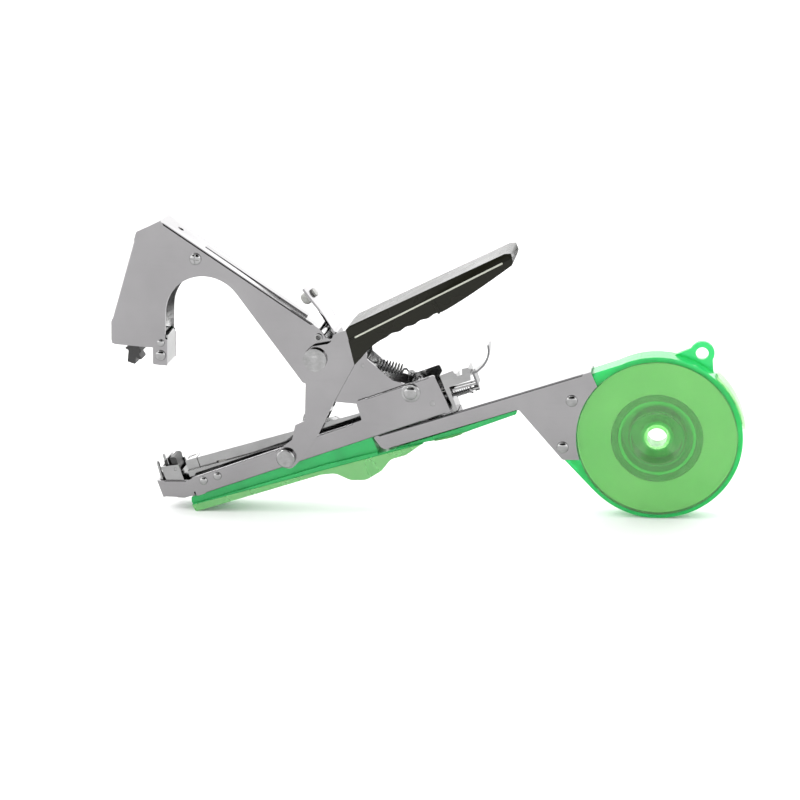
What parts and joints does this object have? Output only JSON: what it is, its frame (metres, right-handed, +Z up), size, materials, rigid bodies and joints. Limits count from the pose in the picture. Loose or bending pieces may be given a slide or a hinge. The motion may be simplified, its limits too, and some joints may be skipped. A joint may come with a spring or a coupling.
{
  "type": "plier stapler",
  "caption": "Hand tapener for tying plants: a squeezed handle closes a hooked jaw arm over tape from a reel case, staples the loop and cuts it.",
  "frame": {"origin": "centre of the bounding box's base, on the table the tool rests on", "axes": "+X back along the lower arm's ground line towards the reel case, +Z up, Y across the tool; the reel case lid faces +Y"},
  "size_m": [0.3402, 0.0296, 0.1639],
  "materials": {
    "bright_steel": "bright nickel plated pressed steel",
    "plain_steel": "plain bright steel, fine brushed",
    "screw_steel": "zinc plated pins, rivets and screws",
    "spring_steel": "dark drawn spring wire and spring leaf",
    "staple_steel": "galvanised staple wire",
    "green_plastic": "translucent green moulded plastic",
    "core_plastic": "translucent green moulded plastic reel core",
    "tape_film": "milky stretch film wound on a roll",
    "black_grip": "black moulded grip, satin",
    "black_rubber": "black rubber",
    "grey_rubber": "grey rubber bumper"
  },
  "bodies": {
    "frame": {"front_frame": "bright_steel", "rear_frame": "bright_steel", "hand_grip": "green_plastic", "grip_screws": "screw_steel", "nose_housing": "bright_steel", "nose_cap": "plain_steel", "nose_pad": "black_rubber", "tape_lip": "plain_steel", "nose_rivets": "screw_steel", "clamp_pin": "screw_steel", "staple_driver": "plain_steel", "lift_leaf": "spring_steel", "magazine_pin": "screw_steel", "arm_pivot_pin": "screw_steel", "spring_anchor": "bright_steel", "handle_studs": "screw_steel", "frame_rivets": "screw_steel", "rear_block": "bright_steel", "reel_case": "green_plastic", "case_face": "green_plastic", "case_screws": "screw_steel", "lid_hinge_pin": "screw_steel", "hinge_leaf": "bright_steel", "return_spring": "spring_steel", "plunger_spring": "spring_steel"},
    "arm": {"arm_shell": "bright_steel", "clincher": "plain_steel", "blade_holder": "plain_steel", "cutter_blade": "plain_steel", "jaw_screws": "screw_steel", "arm_screw": "screw_steel", "arm_knuckle": "screw_steel", "spring_pin": "screw_steel", "catch_bracket": "bright_steel", "catch_pin": "screw_steel"},
    "catch": {"tape_catch": "black_rubber"},
    "handle": {"handle_frame": "bright_steel", "handle_grip": "black_grip", "cam_pin": "screw_steel", "tongue_bumper": "grey_rubber"},
    "magazine": {"magazine_channel": "plain_steel", "magazine_cover": "plain_steel", "staple_strip": "staple_steel"},
    "pusher": {"pusher_shoe": "plain_steel", "pusher_bars": "plain_steel", "finger_leaf": "spring_steel"},
    "plunger": {"plunger": "plain_steel"},
    "clamp": {"tape_clamp": "black_rubber"},
    "reel": {"reel_core": "core_plastic", "tape_roll": "tape_film"},
    "lid": {"case_lid": "green_plastic"}
  },
  "joints": [
    {"name": "arm_hinge", "type": "hinge", "parent": "frame", "child": "arm", "pos_m": [-0.00579, 0, 0.0702], "axis": [0, 1, 0], "range_deg": [-23.5, 0], "deforming": ["return_spring"]},
    {"name": "handle_hinge", "type": "hinge", "parent": "frame", "child": "handle", "pos_m": [-0.0756, 0, 0.03306], "axis": [0, 1, 0], "range_deg": [0, 13.2], "stiffness_Nm_per_rad": 0.6, "springref_deg": -20.05},
    {"name": "catch_hinge", "type": "hinge", "parent": "arm", "child": "catch", "pos_m": [-0.15927, 0, 0.09905], "axis": [0, 1, 0], "range_deg": [0, 12], "stiffness_Nm_per_rad": 0.01, "springref_deg": -5.73},
    {"name": "magazine_hinge", "type": "hinge", "parent": "frame", "child": "magazine", "pos_m": [0.00584, 0, 0.06436], "axis": [0, 1, 0], "range_deg": [-2.2, 0], "stiffness_Nm_per_rad": 2, "springref_deg": 5.73, "deforming": ["lift_leaf"]},
    {"name": "pusher_slide", "type": "slide", "parent": "magazine", "child": "pusher", "axis": [0.9608, 0, 0.2774], "range_m": [0, 0.06], "stiffness_N_per_m": 60, "springref_m": -0.03},
    {"name": "plunger_slide", "type": "slide", "parent": "frame", "child": "plunger", "axis": [0.948, 0, 0.3182], "range_m": [0, 0.003], "stiffness_N_per_m": 150, "springref_m": -0.002, "deforming": ["plunger_spring"]},
    {"name": "clamp_hinge", "type": "hinge", "parent": "frame", "child": "clamp", "pos_m": [-0.14047, 0, 0.02331], "axis": [0, 1, 0], "range_deg": [-10, 0], "stiffness_Nm_per_rad": 0.01, "springref_deg": -5.73},
    {"name": "reel_spin", "type": "hinge", "parent": "frame", "child": "reel", "pos_m": [0.12408, 0, 0.0447], "axis": [0, 1, 0], "continuous": true},
    {"name": "lid_hinge", "type": "hinge", "parent": "frame", "child": "lid", "pos_m": [0.07858, 0.0099, 0.0528], "axis": [0, 0, 1], "range_deg": [0, 100]}
  ],
  "couplings": [
    {"joint": "arm_hinge", "follows": "handle_hinge", "ratio": -1.7803}
  ]
}
